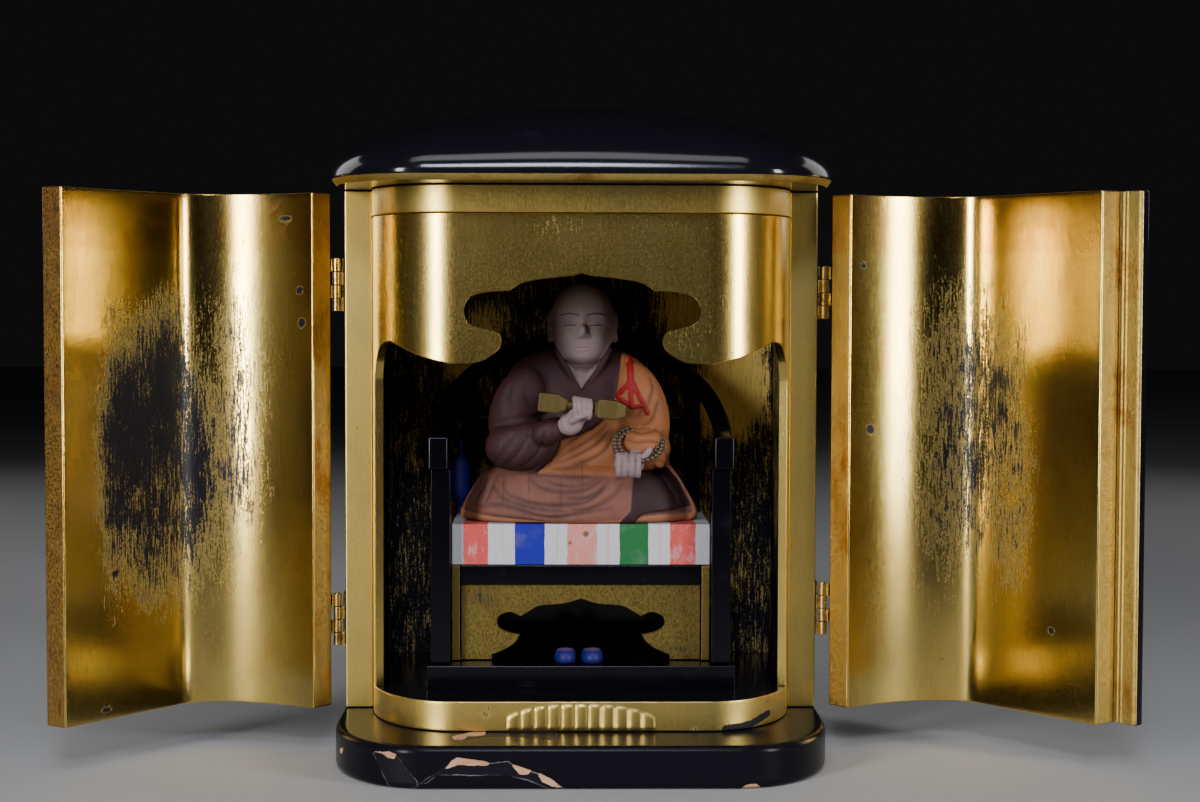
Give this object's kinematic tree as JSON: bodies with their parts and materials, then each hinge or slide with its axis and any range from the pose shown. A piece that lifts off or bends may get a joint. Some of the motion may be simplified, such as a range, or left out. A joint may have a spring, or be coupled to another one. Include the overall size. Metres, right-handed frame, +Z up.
{
  "type": "buddhist shrine",
  "caption": "Small lacquered wooden cabinet shrine, gilded inside, with curved hinged doors, a domed roof and a carved, painted monk seated on a black chair.",
  "frame": {"origin": "middle of the base plate's underside", "axes": "+X to the viewer's right, +Y from the open front to the back wall, +Z up"},
  "size_m": [0.4876, 0.178, 0.2979],
  "materials": {
    "black_lacquered_wood": "glossy black lacquer with chips that show pinkish bare wood",
    "lacquered_and_gilded_wood": "worn gold leaf inside, glossy black lacquer outside",
    "gilded_wood": "worn gold leaf",
    "painted_wood": "matte mineral paint on carved wood: maroon, orange and mauve robe, pale skin",
    "striped_paint": "matte white ground with faded red, blue and green stripes",
    "blue_paint": "matte blue paint",
    "brass": "dull brass"
  },
  "bodies": {
    "cabinet": {"base_plate": "black_lacquered_wood", "side_wall_left": "lacquered_and_gilded_wood", "side_wall_right": "lacquered_and_gilded_wood", "back_wall": "lacquered_and_gilded_wood", "floor_board": "lacquered_and_gilded_wood", "ceiling_board": "gilded_wood", "valance": "gilded_wood", "roof": "black_lacquered_wood", "hinge_left_lower_fixed": "brass", "hinge_left_upper_fixed": "brass", "hinge_right_lower_fixed": "brass", "hinge_right_upper_fixed": "brass", "chair_foot_board": "black_lacquered_wood", "chair_front_post_left": "black_lacquered_wood", "chair_front_post_right": "black_lacquered_wood", "chair_side_panel_left": "black_lacquered_wood", "chair_side_panel_right": "black_lacquered_wood", "chair_back_panel": "black_lacquered_wood", "chair_seat_rail": "black_lacquered_wood", "chair_striped_seat": "striped_paint", "chair_apron": "gilded_wood", "chair_arm_rail": "black_lacquered_wood", "chair_back_post_left": "black_lacquered_wood", "chair_back_post_right": "black_lacquered_wood", "chair_back_rail": "black_lacquered_wood", "shoe_left": "blue_paint", "shoe_right": "blue_paint", "blue_jar": "blue_paint", "monk_figure": "painted_wood", "vajra": "gilded_wood"},
    "left_door": {"door_left": "lacquered_and_gilded_wood", "hinge_left_lower_door": "brass", "hinge_left_upper_door": "brass"},
    "right_door": {"door_right": "lacquered_and_gilded_wood", "door_lap_strip": "lacquered_and_gilded_wood", "hinge_right_lower_door": "brass", "hinge_right_upper_door": "brass"}
  },
  "joints": [
    {"name": "left_door_hinge", "type": "hinge", "parent": "cabinet", "child": "left_door", "pos_m": [-0.1138, -0.0004, 0.139], "axis": [0, 0, 1], "range_deg": [-54.5, 125.5]},
    {"name": "right_door_hinge", "type": "hinge", "parent": "cabinet", "child": "right_door", "pos_m": [0.1138, -0.0004, 0.139], "axis": [0, 0, -1], "range_deg": [-52, 128]}
  ]
}
